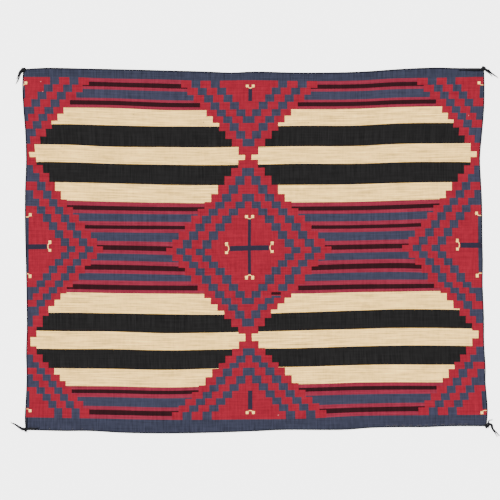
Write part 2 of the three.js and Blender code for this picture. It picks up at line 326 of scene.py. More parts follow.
class NodeGraph:
    """Adds nodes to a tree, with their inputs linked or set."""

    def __init__(self, tree):
        self.tree = tree

    def feed(self, socket, value):
        if isinstance(value, bpy.types.NodeSocket):
            self.tree.links.new(value, socket)
        else:
            socket.default_value = value

    def add(self, kind, inputs=None, **settings):
        node = self.tree.nodes.new(kind)
        for name, value in settings.items():
            setattr(node, name, value)
        for key, value in (inputs or {}).items():
            self.feed(node.inputs[key], value)
        return node

    def math(self, operation, *values):
        return self.add("ShaderNodeMath", dict(enumerate(values)), operation=operation).outputs[0]

    def combine(self, x=0.0, y=0.0, z=0.0):
        return self.add("ShaderNodeCombineXYZ", {"X": x, "Y": y, "Z": z}).outputs[0]

    def separate(self, vector):
        return self.add("ShaderNodeSeparateXYZ", {0: vector}).outputs

    def near(self, value, middle, reach):
        """1 where value lies within reach of middle, and 0 elsewhere."""
        return self.math("COMPARE", value, middle, reach)

    def between(self, value, first, last):
        return self.near(value, (first + last) / 2, (last - first) / 2)

    def both(self, one, other):
        return self.math("MULTIPLY", one, other)

    def either(self, *masks):
        whole = masks[0]
        for mask in masks[1:]:
            whole = self.math("MAXIMUM", whole, mask)
        return whole

    def choose(self, mask, outside, inside):
        """inside where the mask is 1, and outside where it is 0."""
        node = self.add("ShaderNodeMix", {0: mask, 2: outside, 3: inside}, data_type="FLOAT")
        return node.outputs[0]

    def blend_colours(self, share, first, second, mode="MIX"):
        node = self.add("ShaderNodeMix", {0: share, 6: first, 7: second}, data_type="RGBA", blend_type=mode)
        return node.outputs[2]

    def noise(self, vector, scale, detail=2.0):
        node = self.add("ShaderNodeTexNoise", {"Vector": vector, "Scale": scale, "Detail": detail})
        return node.outputs["Fac"]

    def uneven(self, vector, scale, detail=2.0, strength=1):
        """Noise from -strength to strength."""
        return self.math("MULTIPLY_ADD", self.noise(vector, scale, detail), 2 * strength, -strength)

    def vector(self, operation, vector, other):
        """A vector operation's result. other is a number for SCALE, and a vector otherwise."""
        second = "Scale" if operation == "SCALE" else 1
        return self.add("ShaderNodeVectorMath", {0: vector, second: other}, operation=operation).outputs[0]

    def moved(self, geometry, offset):
        node = self.add("GeometryNodeSetPosition", {"Geometry": geometry, "Offset": offset})
        return node.outputs[0]

    def tubes(self, lines, facets, radius, scale):
        """A tube with closed ends round each line."""
        section = self.add("GeometryNodeCurvePrimitiveCircle", {"Resolution": facets, "Radius": radius})
        settings = {"Curve": lines, "Profile Curve": section.outputs[0], "Scale": scale, "Fill Caps": True}
        return self.add("GeometryNodeCurveToMesh", settings).outputs[0]

    def copies(self, lines, amount):
        settings = {"Geometry": lines, "Amount": amount}
        return self.add("GeometryNodeDuplicateElements", settings, domain="SPLINE").outputs

    def steps(self, place, values):
        """A colour ramp of even, sharp steps, one for each value: a colour, or a number as a grey."""
        node = self.add("ShaderNodeValToRGB", {"Fac": place})
        ramp = node.color_ramp
        ramp.interpolation = "CONSTANT"
        ramp.elements.remove(ramp.elements[1])
        for number, value in enumerate(values):
            element = ramp.elements[0] if number == 0 else ramp.elements.new(number / len(values))
            element.color = (*value, 1) if hasattr(value, "__len__") else (value, value, value, 1)
        return node.outputs["Color"]


def new_material(name):
    """A material with a rough wool shader, and its graph and shader."""
    material = bpy.data.materials.new(name)
    material.use_nodes = True
    graph = NodeGraph(material.node_tree)
    shader = material.node_tree.nodes["Principled BSDF"]
    shader.inputs["Roughness"].default_value = 0.95
    shader.inputs["Specular IOR Level"].default_value = 0.05
    shader.inputs["Sheen Weight"].default_value = 0.02
    shader.inputs["Sheen Roughness"].default_value = 0.6
    return material, graph, shader


def stripe_code(graph, row):
    """The yarn's number where only stripes and borders show."""
    code = CODE["border_blue"]
    before = code
    for start, yarn in STRIPES:
        change = CODE[yarn] - before
        before = CODE[yarn]
        code = graph.math("MULTIPLY_ADD", graph.math("GREATER_THAN", row, start), change, code)
    return code


def diamond_masks(graph, to_column, at_side, row, step_row):
    """Masks of the diamonds and of their blue bands.

    to_column is in warps, and at_side is 1 at the side columns.
    """
    whole_row = graph.math("FLOOR", step_row)
    from_middle = graph.math("ABSOLUTE", graph.math("SUBTRACT", whole_row, MIDDLE_ROW))
    from_neck = graph.math("ABSOLUTE", graph.math("SUBTRACT", from_middle, NECK_DISTANCE))
    half_width = graph.math("MULTIPLY_ADD", from_neck, STEP_WARPS, NECK_HALF_WARPS)
    inside = graph.math("GREATER_THAN", graph.math("SUBTRACT", half_width, to_column), 0)

    # A blue step that comes near the web's side runs on to it
    stepped = graph.math("MAXIMUM", to_column, graph.math("MULTIPLY", at_side, NECK_HALF_WARPS + 0.5))
    depth = graph.math("SUBTRACT", half_width, stepped)
    blue = graph.either(*(graph.between(depth, first, last) for first, last in BLUE_BANDS))
    return graph.both(inside, graph.between(row, 0, LAST_ROW)), blue


def cross_masks(graph, aside, level_aside, row):
    """Masks of the crosses' upright bars, level bars and light forks.

    aside and level_aside are in warps, from the middle of an upright bar and of a level one.
    """
    bars = [
        graph.both(graph.math("LESS_THAN", aside, half), graph.between(row, first, last))
        for half, first, last in BARS
    ]
    half, first, last = LEVEL_BAR
    level = graph.both(graph.math("LESS_THAN", level_aside, half), graph.between(row, first, last))

    forks = []
    line, square = FORK_LINE, FORK_SQUARE
    squared = graph.math("MULTIPLY", aside, aside)
    in_squares = graph.near(aside, square["aside"], square["half_aside"])
    for line_row, opens in FORKS:
        from_line = graph.math("SUBTRACT", row, line_row)
        bent = graph.math("MULTIPLY_ADD", squared, -line["bend"] * opens, from_line)
        on_line = graph.near(bent, 0, line["half_along"])
        forks.append(graph.both(on_line, graph.math("LESS_THAN", aside, line["reach"])))
        square_row = line_row + square["along"] * opens
        forks.append(graph.both(in_squares, graph.near(row, square_row, square["half_along"])))

    line, square = LEVEL_FORK_LINE, LEVEL_FORK_SQUARE
    from_bar = graph.math("ABSOLUTE", graph.math("SUBTRACT", row, LEVEL_FORK_ROW))
    squared = graph.math("MULTIPLY", from_bar, from_bar)
    bent = graph.math("MULTIPLY_ADD", squared, -line["bend"], level_aside)
    on_line = graph.near(bent, line["aside"], line["half_aside"])
    forks.append(graph.both(on_line, graph.math("LESS_THAN", from_bar, line["reach"])))
    in_squares = graph.near(level_aside, square["aside"], square["half_aside"])
    forks.append(graph.both(in_squares, graph.near(from_bar, square["along"], square["half_along"])))
    return graph.either(*bars), level, graph.either(*forks)


def chart_code(graph, warp, row, step_row, place):
    """The yarn's number at each point of the web."""
    column = graph.math("ROUND", graph.math("DIVIDE", warp, COLUMN_SPACING))
    from_column = graph.math("MULTIPLY_ADD", column, -COLUMN_SPACING, warp)
    at_side = graph.math("ABSOLUTE", column)
    inside, blue = diamond_masks(graph, graph.math("ABSOLUTE", from_column), at_side, row, step_row)
    within = graph.choose(blue, CODE["red"], CODE["blue"])
    code = graph.choose(inside, stripe_code(graph, row), within)

    # One blue step of the middle diamond is a short near-black dash instead
    beside_dash = graph.both(graph.near(warp, *DASH_WARPS), graph.near(row, *DASH_GROUND_ROWS))
    dash = graph.both(beside_dash, graph.near(row, *DASH_ROWS))
    code = graph.choose(beside_dash, code, CODE["red"])
    code = graph.choose(dash, code, CODE["maroon"])

    # The middle column's bars stand a little to the right, and the side ones run out to the web's edge
    from_middle = graph.math("ABSOLUTE", graph.math("SUBTRACT", from_column, MIDDLE_BAR_SHIFT))
    inward = graph.math("MULTIPLY", graph.math("MULTIPLY", column, -1), from_column)
    at_right = graph.math("GREATER_THAN", column, 0.5)
    low_reach = graph.choose(at_right, LOW_REACH["left"], LOW_REACH["right"])
    reach = graph.choose(graph.math("GREATER_THAN", row, TOP_LAST_ROW), SIDE_REACH, low_reach)
    from_edge = graph.math("MAXIMUM", graph.math("SUBTRACT", inward, reach), 0)
    aside = graph.choose(at_side, from_middle, from_edge)
    level_aside = graph.choose(at_side, from_middle, graph.math("SUBTRACT", inward, LEVEL_REACH))
    low_right = graph.both(at_right, graph.math("GREATER_THAN", row, BOTTOM_FIRST_ROW))
    bar_row = graph.math("MULTIPLY_ADD", low_right, -LOW_RIGHT_DROP, row)
    bars, level, forks = cross_masks(graph, aside, level_aside, bar_row)
    bar_code = graph.choose(at_side, CODE["bar_indigo"], CODE["border_blue"])
    code = graph.choose(bars, code, bar_code)
    code = graph.choose(level, code, CODE["bar_indigo"])
    code = graph.choose(forks, code, CODE["cream"])

    for yarn, specks in SPECKS.items():
        for x, y, radius in specks:
            middle = (x * MM, y * MM, 0)
            away = graph.add("ShaderNodeVectorMath", {0: place, 1: middle}, operation="DISTANCE")
            speck = graph.math("LESS_THAN", away.outputs["Value"], radius * MM)
            code = graph.choose(speck, code, CODE[yarn])
    return code


def web_material(sizes, colours):
    """The tapestry: each yarn in its place on the chart, streaked along its ribs in random tone and painted
    rib shade, and between its dye lots.
    """
    material, graph, shader = new_material("web_wool_tapestry")
    weave = graph.add("ShaderNodeAttribute", attribute_name="weave").outputs["Vector"]
    ribs = graph.add("ShaderNodeAttribute", attribute_name="ribs").outputs["Vector"]
    place = graph.add("ShaderNodeTexCoord").outputs["Object"]
    chart_warp, row, step_row = graph.separate(weave)
    warp = graph.separate(ribs)[0]
    x, y, _ = graph.separate(place)
    code = chart_code(graph, chart_warp, row, step_row, graph.combine(x, y))
    step = graph.math("DIVIDE", graph.math("ADD", code, 0.5), len(YARNS))

    rib_tone_and_shade, lot_changes = zip(*(STREAKS.get(yarn, OTHER_STREAKS) for yarn in YARNS))
    base = graph.steps(step, [tuple(getattr(colours, yarn)) for yarn in YARNS])
    tone_and_shade_strength = graph.steps(step, rib_tone_and_shade)
    lots = graph.steps(step, lot_changes)

    along_ribs, along_picks = (
        graph.combine(graph.math("MULTIPLY", warp, across), graph.math("MULTIPLY", row, down))
        for across, down in (RIB_TONE_AND_SHADE_SCALE, LOT_SCALE)
    )
    # Streaks along the ribs: random tone of the yarns, and painted shade of the ribs and of the hollows
    # between them
    tone_and_shade_noise = graph.uneven(along_ribs, 1.0)
    lot = graph.uneven(along_picks, 1.0, 3)
    mottle = graph.uneven(place, MOTTLE_SCALE, 3, MOTTLE)
    change = graph.math("MULTIPLY_ADD", tone_and_shade_noise, tone_and_shade_strength, graph.math("MULTIPLY", lot, lots))
    shade = graph.math("ADD", graph.math("ADD", change, mottle), 1)
    shaded = graph.blend_colours(1.0, base, graph.combine(shade, shade, shade), "MULTIPLY")
    graph.feed(shader.inputs["Base Color"], shaded)

    # The weft's beads, which alternate from rib to rib
    odd = graph.math("MODULO", graph.math("FLOOR", warp), 2)
    half_bead = graph.math("MULTIPLY", odd, 0.5)
    beads = graph.math("MULTIPLY_ADD", row, ROW_PITCH * MM / sizes.weft_bead, half_bead)
    bead = graph.math("ABSOLUTE", graph.math("SINE", graph.math("MULTIPLY", beads, math.pi)))
    rib = graph.math("ABSOLUTE", graph.math("SINE", graph.math("MULTIPLY", warp, math.pi)))
    bump = graph.add("ShaderNodeBump", {**WEFT_BUMP, "Height": graph.math("MULTIPLY", bead, rib)})
    graph.feed(shader.inputs["Normal"], bump.outputs[0])
    return material


def yarn_material(name, colour):
    """A plied yarn: fibres that differ in shade, and a fine uneven surface."""
    material, graph, shader = new_material(name)
    place = graph.add("ShaderNodeTexCoord").outputs["Object"]
    fibres = graph.noise(place, FIBRE_SCALE, 3)
    stretches = graph.noise(place, STRETCH_SCALE, 2)
    pale = [value + (MIDDLE_GREY - value) * YARN_FADE for value in colour]
    shade = graph.math("MULTIPLY", fibres, stretches)
    mixed = graph.blend_colours(shade, (*colour, 1), (*pale, 1))
    graph.feed(shader.inputs["Base Color"], mixed)
    bump = graph.add("ShaderNodeBump", {**YARN_BUMP, "Height": fibres})
    graph.feed(shader.inputs["Normal"], bump.outputs[0])
    return material


def node_group(name, inputs):
    """A Geometry Nodes tree with named inputs, its graph and its group input node."""
    tree = bpy.data.node_groups.new(name, "GeometryNodeTree")
    tree.interface.new_socket("Geometry", in_out="INPUT", socket_type="NodeSocketGeometry")
    for label, kind, default in inputs:
        socket = tree.interface.new_socket(label, in_out="INPUT", socket_type=kind)
        if default is not None:
            socket.default_value = default
    tree.interface.new_socket("Geometry", in_out="OUTPUT", socket_type="NodeSocketGeometry")
    return tree, NodeGraph(tree), tree.nodes.new("NodeGroupInput")


def end_tree(graph, geometry, material_socket, smooth):
    """Shades and paints the result, and realizes its instances."""
    shaded = graph.add("GeometryNodeSetShadeSmooth", {"Geometry": geometry, "Shade Smooth": smooth})
    real = graph.add("GeometryNodeRealizeInstances", {"Geometry": shaded.outputs[0]})
    settings = {"Geometry": real.outputs[0], "Material": material_socket}
    painted = graph.add("GeometryNodeSetMaterial", settings)
    output = graph.tree.nodes.new("NodeGroupOutput")
    graph.feed(output.inputs[0], painted.outputs[0])


def rib_tree():
    """Sinks the web's faces between its warps, on both sides."""
    tree, graph, source = node_group(
        "warp_ribs",
        (
            ("Rib Depth", "NodeSocketFloat", 0.00035),
            ("Unevenness", "NodeSocketFloat", 0.3),
            ("Seed", "NodeSocketInt", 7),
            ("Material", "NodeSocketMaterial", None),
        ),
    )
    ribs = graph.add("GeometryNodeInputNamedAttribute", {"Name": "ribs"}, data_type="FLOAT_VECTOR")
    warp, _, face = graph.separate(ribs.outputs["Attribute"])
    crest = graph.math("ABSOLUTE", graph.math("SINE", graph.math("MULTIPLY", warp, math.pi)))
    rib = graph.math("FLOOR", warp)
    draw = graph.add(
        "FunctionNodeRandomValue",
        {"ID": rib, "Seed": source.outputs["Seed"], 2: 0.0, 3: 1.0},
        data_type="FLOAT",
    )
    lower = graph.math("MULTIPLY", graph.both(draw.outputs[1], source.outputs["Unevenness"]), crest)
    hollow = graph.math("ADD", graph.math("SUBTRACT", 1, crest), lower)
    sink = graph.math("MULTIPLY", graph.both(hollow, source.outputs["Rib Depth"]), graph.both(face, -1.0))
    ribbed = graph.moved(source.outputs["Geometry"], graph.combine(0, 0, sink))
    end_tree(graph, ribbed, source.outputs["Material"], False)
    return tree


def cord_tree():
    """Lays three strands round each line of the input, each strand wound about the others."""
    tree, graph, source = node_group(
        "plied_cord",
        (
            ("Strands", "NodeSocketInt", 3),
            ("Strand Radius", "NodeSocketFloat", 0.001),
            ("Lay Radius", "NodeSocketFloat", 0.001),
            ("Pitch", "NodeSocketFloat", 0.015),
            ("Steps per Turn", "NodeSocketFloat", 8.0),
            ("End Share", "NodeSocketFloat", 1.0),
            ("Facets", "NodeSocketInt", 6),
            ("Material", "NodeSocketMaterial", None),
        ),
    )
    get = source.outputs
    line = graph.add("GeometryNodeMeshToCurve", {"Mesh": get["Geometry"]})
    step = graph.math("DIVIDE", get["Pitch"], get["Steps per Turn"])
    route = graph.add("GeometryNodeResampleCurve", {"Curve": line.outputs[0], "Length": step}, mode="LENGTH")
    strands = graph.copies(route.outputs[0], get["Strands"])
    along = graph.add("GeometryNodeSplineParameter").outputs
    share = graph.math("DIVIDE", strands["Duplicate Index"], get["Strands"])
    turns = graph.math("ADD", graph.math("DIVIDE", along["Length"], get["Pitch"]), share)
    angle = graph.math("MULTIPLY", turns, 2 * math.pi)
    taper = graph.choose(along["Factor"], 1.0, get["End Share"])
    lay = graph.math("MULTIPLY", get["Lay Radius"], taper)
    aside = graph.add("GeometryNodeInputNormal").outputs[0]
    ahead = graph.add("GeometryNodeInputTangent").outputs[0]
    upward = graph.vector("CROSS_PRODUCT", ahead, aside)
    part_aside = graph.vector("SCALE", aside, graph.both(lay, graph.math("COSINE", angle)))
    part_up = graph.vector("SCALE", upward, graph.both(lay, graph.math("SINE", angle)))
    wound = graph.moved(strands["Geometry"], graph.vector("ADD", part_aside, part_up))
    end_tree(graph, graph.tubes(wound, get["Facets"], get["Strand Radius"], taper), get["Material"], True)
    return tree


def fray_tree():
    """Fans loose fibres out of each line of the input, which leads out of a cord's end."""
    tree, graph, source = node_group(
        "frayed_end",
        (
            ("Fibres", "NodeSocketInt", 26),
            ("Fibre Radius", "NodeSocketFloat", 0.0003),
            ("Spread", "NodeSocketFloat", 0.005),
            ("Bundle", "NodeSocketFloat", 0.0012),
            ("Seed", "NodeSocketInt", 7),
            ("Material", "NodeSocketMaterial", None),
        ),
    )
    get = source.outputs
    line = graph.add("GeometryNodeMeshToCurve", {"Mesh": get["Geometry"]})
    fibres = graph.copies(line.outputs[0], get["Fibres"])
    factor = graph.add("GeometryNodeSplineParameter").outputs["Factor"]
    spline = graph.add("GeometryNodeInputIndex").outputs[0]
    which = graph.add("GeometryNodeCurveOfPoint", {"Point Index": spline}).outputs["Curve Index"]

    def draw(lowest, highest, seed_step):
        seed = graph.math("ADD", get["Seed"], seed_step)
        limits = {"ID": which, "Seed": seed, 0: lowest, 1: highest}
        return graph.add("FunctionNodeRandomValue", limits, data_type="FLOAT_VECTOR").outputs[0]

    fan = graph.math("MULTIPLY", graph.math("MULTIPLY", factor, factor), get["Spread"])
    fanned = graph.vector("SCALE", draw((-1.0, -1.0, -0.4), (1.0, 1.0, 0.6), 1), fan)
    held = graph.vector("SCALE", draw((-1.0,) * 3, (1.0,) * 3, 2), get["Bundle"])
    spread = graph.moved(fibres["Geometry"], graph.vector("ADD", fanned, held))
    x, y, z = graph.separate(graph.add("GeometryNodeInputPosition").outputs[0])
    above = graph.combine(x, y, graph.math("MAXIMUM", z, get["Fibre Radius"]))
    grounded = graph.add("GeometryNodeSetPosition", {"Geometry": spread, "Position": above})
    thin = graph.math("SUBTRACT", 1.1, factor)
    wisps = graph.tubes(grounded.outputs[0], 3, get["Fibre Radius"], thin)
    end_tree(graph, wisps, get["Material"], True)
    return tree


def tree_named(name, make):
    """The node tree of that name, made once."""
    return bpy.data.node_groups.get(name) or make()


def link_object(name, mesh):
    obj = bpy.data.objects.new(name, mesh)
    bpy.context.scene.collection.objects.link(obj)
    return obj


def line_object(name, routes):
    """An object of open lines, one for each route of points in metres."""
    points = []
    edges = []
    for route in routes:
        first = len(points)
        points += [tuple(point) for point in route]
        edges += [(first + i, first + i + 1) for i in range(len(route) - 1)]
    mesh = bpy.data.meshes.new(name)
    mesh.from_pydata(points, edges, [])
    return link_object(name, mesh)


def run_tree(obj, tree, settings):
    """Runs a node tree on the object, and keeps the result as its plain mesh."""
    modifier = obj.modifiers.new("making", "NODES")
    modifier.node_group = tree
    for item in tree.interface.items_tree:
        if item.in_out == "INPUT" and item.name in settings:
            modifier[item.identifier] = settings[item.name]
    bpy.context.view_layer.update()
    state = bpy.context.evaluated_depsgraph_get()
    evaluated = obj.evaluated_get(state)
    mesh = bpy.data.meshes.new_from_object(evaluated, preserve_all_data_layers=True, depsgraph=state)
    obj.modifiers.remove(modifier)
    before = obj.data
    obj.data = mesh
    mesh.name = obj.name
    bpy.data.meshes.remove(before)
    if not mesh.polygons:
        raise RuntimeError(f"{obj.name} came out of {tree.name} with no faces")


def tree_object(name, routes, tree, settings):
    """An object that a node tree makes from lines."""
    obj = line_object(name, routes)
    run_tree(obj, tree, settings)
    return obj


def join_meshes(name, objects):
    """One object with the meshes of all of these, which go."""
    graph = bmesh.new()
    materials = []
    for obj in objects:
        for material in obj.data.materials:
            if material not in materials:
                materials.append(material)
        graph.from_mesh(obj.data)
    mesh = bpy.data.meshes.new(name)
    graph.to_mesh(mesh)
    graph.free()
    for material in materials:
        mesh.materials.append(material)
    for obj in objects:
        data = obj.data
        bpy.data.objects.remove(obj)
        bpy.data.meshes.remove(data)
    return link_object(name, mesh)


def smooth(x, stations, values):
    """Heights at x of a smooth curve through the values at the stations."""
    stations = np.asarray(stations, float)
    values = np.asarray(values, float)
    slopes = np.gradient(values, stations)
    x = np.clip(x, stations[0], stations[-1])
    i = np.clip(np.searchsorted(stations, x) - 1, 0, len(stations) - 2)
    span = stations[i + 1] - stations[i]
    t = (x - stations[i]) / span
    rise = values[i + 1] - values[i]
    first = slopes[i] * span - rise
    last = rise - slopes[i + 1] * span
    return values[i] + t * rise + t * (1 - t) * ((1 - t) * first + t * last)


def table_row(row, table):
    """The numbers of a table at any row, smoothly between the rows that it gives."""
    rows = [line[0] for line in table]
    return [smooth(row, rows, column) for column in zip(*(line[1:] for line in table))]


def cord_route(side):
    """The middle of each ring of an edge cord's CAD solid, in order along the cord."""
    graph = bmesh.new()
    graph.from_mesh(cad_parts[f"edge_cord_{side}"].data)
    bmesh.ops.remove_doubles(graph, verts=graph.verts, dist=0.01 * MM)
    points = np.array([vertex.co for vertex in graph.verts])
    graph.free()
    if len(points) % CORD_FACETS:
        raise RuntimeError(f"edge_cord_{side} isn't made of rings of {CORD_FACETS} points")
    points = points[np.argsort(points[:, SIDES[side]["axis"]])]
    return points.reshape(-1, CORD_FACETS, 3).mean(axis=1)


class WebOutline:
    """The web's edges, which reach a little under its edge cords."""

    def __init__(self, cord_radius, corner_radius):
        self.inset = cord_radius - CORD_OVERLAP * MM
        self.corner_radius = corner_radius
        self.lines = {side: cord_route(side) for side in SIDES}

    def edge(self, side, along):
        """The edge's place across its side, at places along it."""
        axis = SIDES[side]["axis"]
        line = self.lines[side]
        inward = SIDES[side]["inward"][1 - axis]
        return np.interp(along, line[:, axis], line[:, 1 - axis]) + inward * self.inset

    def rounding(self, x, y):
        """How far the top or bottom edge draws in near the corners, at x on an edge near height y."""
        from_side = np.minimum(x - self.edge("left", y), self.edge("right", y) - x)
        short = np.clip(self.corner_radius - from_side, 0, self.corner_radius)
        return self.corner_radius - np.sqrt(self.corner_radius**2 - short**2)


def row_points(outline, shares, row):
    """Where the web's warps cross a design row, in metres.

    shares runs from 0 at the left edge to 1 at the right one.
    """
    height = np.interp(row, [line[0] for line in ROW_HEIGHTS], [line[1] for line in ROW_HEIGHTS])
    wander = table_row(row, WANDER)
    left = outline.edge("left", (height + wander[0]) * MM)
    right = outline.edge("right", (height + wander[-1]) * MM)
    x = left + (right - left) * shares
    y = height + smooth(x / MM, WANDER_STATIONS, wander)
    return x, y * MM


def chart_warps(x, row):
    """The chart's warp at each place across a design row."""
    guides = table_row(row, GUIDES)
    beyond = 40
    places = (guides[0] - beyond * WARP_PITCH, *guides, guides[-1] + beyond * WARP_PITCH)
    warps = (GUIDE_WARPS[0] - beyond, *GUIDE_WARPS, GUIDE_WARPS[-1] + beyond)
    return smooth(x / MM, places, warps)


def step_rows(warps, row):
    """The row that sets the diamonds' steps at each of the chart's warps, on a design row."""
    rows, left, right = zip(*SIDE_STEPS)
    ahead = (np.interp(row, rows, left), 0, np.interp(row, rows, right))
    column = np.clip(np.round(warps / COLUMN_SPACING), -1, 1).astype(int)
    return row + np.array(ahead)[column + 1]


def web_rows(outline, shares):
    """Each row of the web's mesh, from the top edge down: chart row, x, y, how far in from the edge."""
    rows = []
    for side, row, direction in (("top", 0, -1), ("bottom", LAST_ROW, 1)):
        x, _ = row_points(outline, shares, row)
        line = outline.edge(side, x)
        y = line + direction * outline.rounding(x, line[0])
        depth = BORDER_ROWS[side] * ROW_PITCH * MM
        ring_rows = [
            (row + direction * BORDER_ROWS[side] * (1 - inwards / depth), x, y + direction * inwards, inwards)
            for inwards in np.array(EDGE_RINGS) * MM
        ]
        rows.append(ring_rows)
    top, bottom = rows
    middle = [(line[0], *row_points(outline, shares, line[0]), None) for line in ROW_HEIGHTS]
    return [*top, *middle, *reversed(bottom)]


def edge_loss(inwards, thickness):
    """How much thinner each face is, near the web's rounded edge."""
    return np.interp(inwards, np.array(EDGE_RINGS) * MM, np.array(EDGE_LOSSES) * thickness)


def swell(x, y, height):
    """The web's softest swells, which die out towards its edges."""
    level_margin = 0.05
    fade_width = 0.15
    low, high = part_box("blanket_web")
    waves = np.sin(7.3 * x + 2.1 * y + 0.4) * np.sin(8.9 * y - 1.7 * x + 1.1) + 0.5 * np.sin(15 * x + 11 * y)
    inside = np.minimum.reduce([x - low.x, high.x - x, y - low.y, high.y - y])
    return height * (waves + 1.5) / 3 * np.clip((inside - level_margin) / fade_width, 0, 1)


def web_mesh(sizes):
    """The web as a closed grid, two columns for each warp, with its chart and its bake map.

    "weave" holds the chart's warp, the row and the steps' row. "ribs" holds the warp's number, and its z is 1
    on the upper face and -1 on the lower one.
    """
    outline = WebOutline(sizes.cord_lay + sizes.cord_strand, sizes.corner_radius)
    low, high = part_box("blanket_web")
    thickness = high.z - low.z
    columns = WARP_COUNT * STEPS_PER_WARP + 1
    shares = np.linspace(0, 1, columns)
    rows = web_rows(outline, shares)
    count = len(rows) * columns
    places = np.zeros((2, len(rows), columns, 3))
    weave = np.zeros((2, len(rows), columns, 3))
    ribs = np.zeros((2, len(rows), columns, 3))
    for number, (row, x, y, inwards) in enumerate(rows):
        from_side = np.minimum(x - x[0], x[-1] - x)
        loss = edge_loss(from_side if inwards is None else np.minimum(from_side, inwards), thickness)
        rise = swell(x, y, sizes.lift)
        warps = chart_warps(x, row)
        for face, base, sign in ((0, thickness, -1), (1, 0, 1)):
            places[face, number] = np.column_stack((x, y, base + sign * loss + rise))
            weave[face, number] = np.column_stack((warps, np.full(columns, row), step_rows(warps, row)))
            ribs[face, number, :, 0] = shares * WARP_COUNT
            ribs[face, number, :, 2] = -sign

    index = np.arange(count).reshape(len(rows), columns)
    upper = np.stack((index[1:, :-1], index[1:, 1:], index[:-1, 1:], index[:-1, :-1]), -1).reshape(-1, 4)
    lower = upper[:, ::-1] + count
    ring = np.concatenate((index[0, :-1], index[:-1, -1], index[-1, :0:-1], index[:0:-1, 0]))
    after = np.roll(ring, -1)
    wall = np.stack((ring, after, after + count, ring + count), -1)
    mesh = bpy.data.meshes.new("web")
    mesh.from_pydata(places.reshape(-1, 3), [], np.concatenate((upper, lower, wall)))
    for name, values in (("weave", weave), ("ribs", ribs)):
        attribute = mesh.attributes.new(name, "FLOAT_VECTOR", "POINT")
        attribute.data.foreach_set("vector", values.astype(np.float32).ravel())

    flat = places.reshape(-1, 3)[:, :2]
    share = (flat - flat.min(axis=0)) / (flat.max(axis=0) - flat.min(axis=0))
    corners = np.zeros(len(mesh.loops), np.int32)
    mesh.loops.foreach_get("vertex_index", corners)
    chart = mesh.uv_layers.new(name="OFBake")
    chart.data.foreach_set("uv", share[corners].astype(np.float32).ravel())
    return mesh


def heading(start, end):
    """The direction from one point to another, as a vector of length 1."""
    return (end - start) / np.linalg.norm(end - start)


def grown(route, length):
    """A route of points with both ends carried on by a length."""
    first = route[0] + heading(route[1], route[0]) * length
    last = route[-1] + heading(route[-2], route[-1]) * length
    return np.vstack((first, route, last))


def curved(points, steps):
    """A smooth route through a few points, in metres."""
    points = np.array(points, float) * MM
    spans = np.linalg.norm(np.diff(points, axis=0), axis=1)
    places = np.concatenate(([0], np.cumsum(spans)))
    along = np.linspace(0, places[-1], steps)
    return np.column_stack([smooth(along, places, points[:, axis]) for axis in range(3)])


def knot_route(middle, radius, height, thickness):
    """A cord's path round a plain overhand knot, pressed flat."""
    t = np.linspace(0, 2 * math.pi, 61)
    reach = (radius - thickness / 2) * MM
    x = middle[0] * MM + reach * (np.sin(t) + 2 * np.sin(2 * t)) / 3
    y = middle[1] * MM + reach * (np.cos(t) - 2 * np.cos(2 * t)) / 3
    z = height / 2 * MM - (height - thickness) / 2 * MM * np.sin(3 * t)
    return np.column_stack((x, y, z))


def winding_route(x, y, radius, height, thickness):
    """A cord's path once round a winding of the knot, higher on one side."""
    t = np.linspace(0, 2 * math.pi, 33)
    reach = (radius - thickness / 2) * MM
    rise = (height - thickness) / 2 * MM
    z = thickness / 2 * MM + rise * (1 + np.sin(t + x))
    return np.column_stack((x * MM + reach * np.cos(t), y * MM + reach * np.sin(t), z))


class BLANKET_OT_web(bpy.types.Operator):
    """Weaves the web"""

    bl_idname = "blanket.web"
    bl_label = "Weave Web"

    def execute(self, context):
        sizes = context.scene.blanket_sizes
        web = link_object("web", web_mesh(sizes))
        settings = {
            "Rib Depth": sizes.rib_depth,
            "Unevenness": sizes.rib_unevenness,
            "Seed": sizes.seed,
            "Material": web_material(sizes, context.scene.blanket_colours),
        }
        run_tree(web, tree_named("warp_ribs", rib_tree), settings)
        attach(web, "root")
        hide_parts("blanket_web")
        return {"FINISHED"}


class BLANKET_OT_edge_cords(bpy.types.Operator):
    """Lays the four plied cords along the web's edges"""

    bl_idname = "blanket.edge_cords"
    bl_label = "Lay Edge Cords"

    GROWTH = 3 * MM

    def execute(self, context):
        sizes = context.scene.blanket_sizes
        wool = yarn_material("cord_wool_yarn", context.scene.blanket_colours.cord)
        for side in SIDES:
            route = grown(cord_route(side), self.GROWTH)
            route[:, 2] = sizes.cord_lay + sizes.cord_strand
            settings = {
                "Strand Radius": sizes.cord_strand,
                "Lay Radius": sizes.cord_lay,
                "Pitch": sizes.cord_pitch,
                "Material": wool,
            }
            cord = tree_object(f"cord_{side}", [route], tree_named("plied_cord", cord_tree), settings)
            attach(cord, "root")
            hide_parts(f"edge_cord_{side}")
        return {"FINISHED"}


